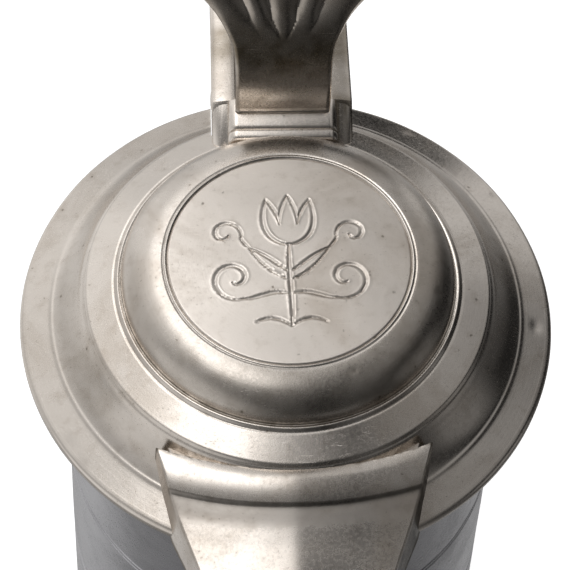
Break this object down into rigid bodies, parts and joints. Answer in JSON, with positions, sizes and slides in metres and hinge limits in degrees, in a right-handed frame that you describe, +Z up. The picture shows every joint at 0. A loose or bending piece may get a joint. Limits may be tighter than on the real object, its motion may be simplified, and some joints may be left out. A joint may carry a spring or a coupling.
{
  "type": "pewter flagon",
  "caption": "Tapered pewter flagon with a moulded foot, beak spout, strap handle and a domed lid that opens on a hinge by its shell thumbpiece and covers mouth and spout.",
  "frame": {"origin": "centre of the foot's underside, on the drum's axis", "axes": "+Z up along the drum, -Y towards the spout, +Y towards the handle, +X to the right when the spout faces the viewer"},
  "size_m": [0.139, 0.199, 0.2781],
  "materials": {
    "pewter_lid": "satin, worn, warm grey",
    "pewter_body": "satin, worn, dark cool grey",
    "pewter_handle": "satin, worn by the hand",
    "iron_pin": "dull, oxidised"
  },
  "bodies": {
    "vessel": {"foot_ring": "pewter_body", "bottom_plate": "pewter_body", "drum_lower": "pewter_body", "drum_upper": "pewter_body", "spout": "pewter_body", "handle_strap": "pewter_handle", "handle_upper_bracket": "pewter_handle", "handle_lower_bracket": "pewter_handle", "hinge_pin": "iron_pin", "hinge_pin_plugs": "pewter_handle"},
    "lid": {"lid_shell": "pewter_lid", "lid_bezel": "pewter_lid", "hinge_lug": "pewter_lid", "thumbpiece": "pewter_lid", "spout_cover": "pewter_lid"}
  },
  "joints": [
    {"name": "lid_hinge", "type": "hinge", "parent": "vessel", "child": "lid", "pos_m": [0, 0.0512, 0.231], "axis": [-1, 0, 0], "range_deg": [0, 75]}
  ]
}
